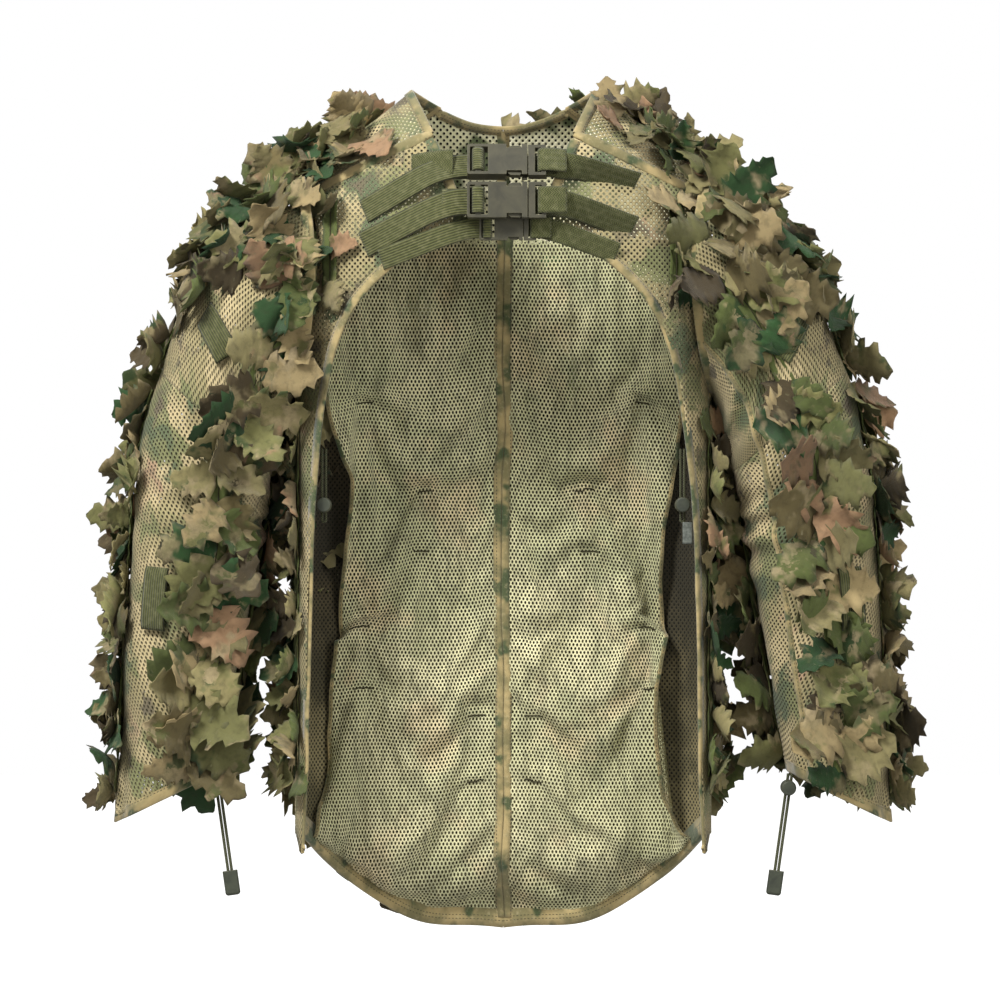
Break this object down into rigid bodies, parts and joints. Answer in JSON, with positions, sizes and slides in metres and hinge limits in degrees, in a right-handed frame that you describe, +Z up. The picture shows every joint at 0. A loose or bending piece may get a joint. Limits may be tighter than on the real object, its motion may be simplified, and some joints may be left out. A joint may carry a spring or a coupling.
{
  "type": "ghillie jacket",
  "caption": "Open-fronted mesh camouflage jacket covered in cut fabric leaves, closed over the chest by side-release buckles, with cord-locked cuffs.",
  "frame": {"origin": "middle of the body from side to side and front to back, level with the lower edge of the back panel at its centre", "axes": "+Z up, -Y towards the wearer's front, +X towards the wearer's left"},
  "size_m": [0.7558, 0.277, 0.7975],
  "materials": {
    "camo_mesh": "open knitted polyester mesh, matt, camouflage printed",
    "lining_mesh": "fine diamond-hole knitted mesh, matt",
    "camo_tape": "woven binding tape, matt",
    "leaf_cloth": "thin calendered polyester, matt, camouflage printed",
    "elastic": "ribbed woven elastic, matt",
    "webbing": "plain woven webbing, matt",
    "buckle_plastic": "moulded acetal, satin",
    "lock_plastic": "moulded nylon, satin",
    "cord": "braided elastic cord, matt",
    "spring_wire": "bare wire",
    "tag_cloth": "woven label, blank, matt"
  },
  "bodies": {
    "jacket": {"shoulder_yokes": "camo_mesh", "front_panel_left": "camo_mesh", "front_panel_right": "camo_mesh", "back_panel_left": "camo_mesh", "back_panel_right": "camo_mesh", "sleeve_head_left": "camo_mesh", "sleeve_head_right": "camo_mesh", "back_lining": "lining_mesh", "lining_centre_tape": "camo_tape", "edge_bindings": "camo_tape", "trunk_leaves": "leaf_cloth", "sleeve_head_leaves": "leaf_cloth", "elastic_straps": "elastic", "back_loops": "elastic", "web_straps": "webbing", "buckle_socket_top": "buckle_plastic", "buckle_socket_mid": "buckle_plastic", "buckle_socket_low": "buckle_plastic", "waist_cord_locks": "lock_plastic", "waist_cords": "cord", "waist_lock_springs": "spring_wire", "waist_tag": "tag_cloth"},
    "upper_sleeve_left": {"sleeve_upper_left": "camo_mesh", "sleeve_elbow_left": "camo_mesh", "upper_arm_leaves_left": "leaf_cloth", "upper_arm_loop_left": "elastic"},
    "forearm_left": {"sleeve_forearm_left": "camo_mesh", "cuff_binding_left": "camo_tape", "forearm_leaves_left": "leaf_cloth", "forearm_loop_left": "elastic"},
    "finger_cord_left": {"cuff_cord_left": "cord", "cord_end_left": "lock_plastic"},
    "cuff_cord_lock_left": {"cuff_lock_left": "lock_plastic", "cuff_lock_spring_left": "spring_wire"},
    "cuff_button_left": {"cuff_plunger_left": "lock_plastic"},
    "waist_button_left": {"waist_plunger_left": "lock_plastic"},
    "upper_sleeve_right": {"sleeve_upper_right": "camo_mesh", "sleeve_elbow_right": "camo_mesh", "upper_arm_leaves_right": "leaf_cloth", "upper_arm_loop_right": "elastic"},
    "forearm_right": {"sleeve_forearm_right": "camo_mesh", "cuff_binding_right": "camo_tape", "forearm_leaves_right": "leaf_cloth", "forearm_loop_right": "elastic"},
    "finger_cord_right": {"cuff_cord_right": "cord", "cord_end_right": "lock_plastic"},
    "cuff_cord_lock_right": {"cuff_lock_right": "lock_plastic", "cuff_lock_spring_right": "spring_wire"},
    "cuff_button_right": {"cuff_plunger_right": "lock_plastic"},
    "waist_button_right": {"waist_plunger_right": "lock_plastic"},
    "latch_top": {"buckle_latch_top": "buckle_plastic"},
    "arm_upper_top": {"latch_arm_upper_top": "buckle_plastic"},
    "arm_lower_top": {"latch_arm_lower_top": "buckle_plastic"},
    "latch_mid": {"buckle_latch_mid": "buckle_plastic"},
    "arm_upper_mid": {"latch_arm_upper_mid": "buckle_plastic"},
    "arm_lower_mid": {"latch_arm_lower_mid": "buckle_plastic"},
    "latch_low": {"buckle_latch_low": "buckle_plastic"},
    "arm_upper_low": {"latch_arm_upper_low": "buckle_plastic"},
    "arm_lower_low": {"latch_arm_lower_low": "buckle_plastic"}
  },
  "joints": [
    {"name": "shoulder_left", "type": "hinge", "parent": "jacket", "child": "upper_sleeve_left", "pos_m": [0.188, 0, 0.62], "axis": [0, -1, 0], "range_deg": [0, 45], "deforming": ["sleeve_head_left", "sleeve_head_leaves"]},
    {"name": "elbow_left", "type": "hinge", "parent": "upper_sleeve_left", "child": "forearm_left", "pos_m": [0.285, -0.025, 0.4], "axis": [-1, 0, 0], "range_deg": [0, 60], "deforming": ["sleeve_elbow_left"]},
    {"name": "finger_cord_swing_left", "type": "hinge", "parent": "forearm_left", "child": "finger_cord_left", "pos_m": [0.266, -0.03, 0.15], "axis": [0, 1, 0], "range_deg": [-25, 25]},
    {"name": "cuff_lock_slide_left", "type": "slide", "parent": "finger_cord_left", "child": "cuff_cord_lock_left", "axis": [-0.1386, 0, -0.9903], "range_m": [0, 0.055]},
    {"name": "cuff_button_press_left", "type": "slide", "parent": "cuff_cord_lock_left", "child": "cuff_button_left", "axis": [0, 1, 0], "range_m": [0, 0.003], "deforming": ["cuff_lock_spring_left"]},
    {"name": "waist_button_press_left", "type": "slide", "parent": "jacket", "child": "waist_button_left", "axis": [0, 1, 0], "range_m": [0, 0.003], "deforming": ["waist_lock_springs"]},
    {"name": "shoulder_right", "type": "hinge", "parent": "jacket", "child": "upper_sleeve_right", "pos_m": [-0.188, 0, 0.62], "axis": [0, 1, 0], "range_deg": [0, 45], "deforming": ["sleeve_head_right"]},
    {"name": "elbow_right", "type": "hinge", "parent": "upper_sleeve_right", "child": "forearm_right", "pos_m": [-0.285, -0.025, 0.4], "axis": [-1, 0, 0], "range_deg": [0, 60], "deforming": ["sleeve_elbow_right"]},
    {"name": "finger_cord_swing_right", "type": "hinge", "parent": "forearm_right", "child": "finger_cord_right", "pos_m": [-0.266, -0.03, 0.15], "axis": [0, -1, 0], "range_deg": [-25, 25]},
    {"name": "cuff_lock_slide_right", "type": "slide", "parent": "finger_cord_right", "child": "cuff_cord_lock_right", "axis": [0.1386, 0, -0.9903], "range_m": [0, 0.055]},
    {"name": "cuff_button_press_right", "type": "slide", "parent": "cuff_cord_lock_right", "child": "cuff_button_right", "axis": [0, 1, 0], "range_m": [0, 0.003], "deforming": ["cuff_lock_spring_right"]},
    {"name": "waist_button_press_right", "type": "slide", "parent": "jacket", "child": "waist_button_right", "axis": [0, 1, 0], "range_m": [0, 0.003]},
    {"name": "latch_slide_top", "type": "slide", "parent": "jacket", "child": "latch_top", "axis": [1, 0, 0], "range_m": [0, 0.032], "deforming": ["web_straps"]},
    {"name": "latch_squeeze_top", "type": "hinge", "parent": "latch_top", "child": "arm_upper_top", "pos_m": [0.0222, -0.08828, 0.72397], "axis": [0, -0.866, 0.5], "range_deg": [0, 5]},
    {"name": "latch_follow_top", "type": "hinge", "parent": "latch_top", "child": "arm_lower_top", "pos_m": [0.0222, -0.09748, 0.70803], "axis": [0, -0.866, 0.5], "range_deg": [-5, 0]},
    {"name": "latch_slide_mid", "type": "slide", "parent": "jacket", "child": "latch_mid", "axis": [1, 0, 0], "range_m": [0, 0.032]},
    {"name": "latch_squeeze_mid", "type": "hinge", "parent": "latch_mid", "child": "arm_upper_mid", "pos_m": [0.0222, -0.12465, 0.68815], "axis": [0, -0.9945, 0.1045], "range_deg": [0, 5]},
    {"name": "latch_follow_mid", "type": "hinge", "parent": "latch_mid", "child": "arm_lower_mid", "pos_m": [0.0222, -0.12658, 0.66985], "axis": [0, -0.9945, 0.1045], "range_deg": [-5, 0]},
    {"name": "latch_slide_low", "type": "slide", "parent": "jacket", "child": "latch_low", "axis": [1, 0, 0], "range_m": [0, 0.023]},
    {"name": "latch_squeeze_low", "type": "hinge", "parent": "latch_low", "child": "arm_upper_low", "pos_m": [0.01798, -0.11475, 0.66162], "axis": [0, -1, 0], "range_deg": [0, 5]},
    {"name": "latch_follow_low", "type": "hinge", "parent": "latch_low", "child": "arm_lower_low", "pos_m": [0.01798, -0.11475, 0.64838], "axis": [0, -1, 0], "range_deg": [-5, 0]}
  ],
  "couplings": [
    {"joint": "latch_follow_top", "follows": "latch_squeeze_top", "ratio": -1},
    {"joint": "latch_follow_mid", "follows": "latch_squeeze_mid", "ratio": -1},
    {"joint": "latch_follow_low", "follows": "latch_squeeze_low", "ratio": -1}
  ]
}
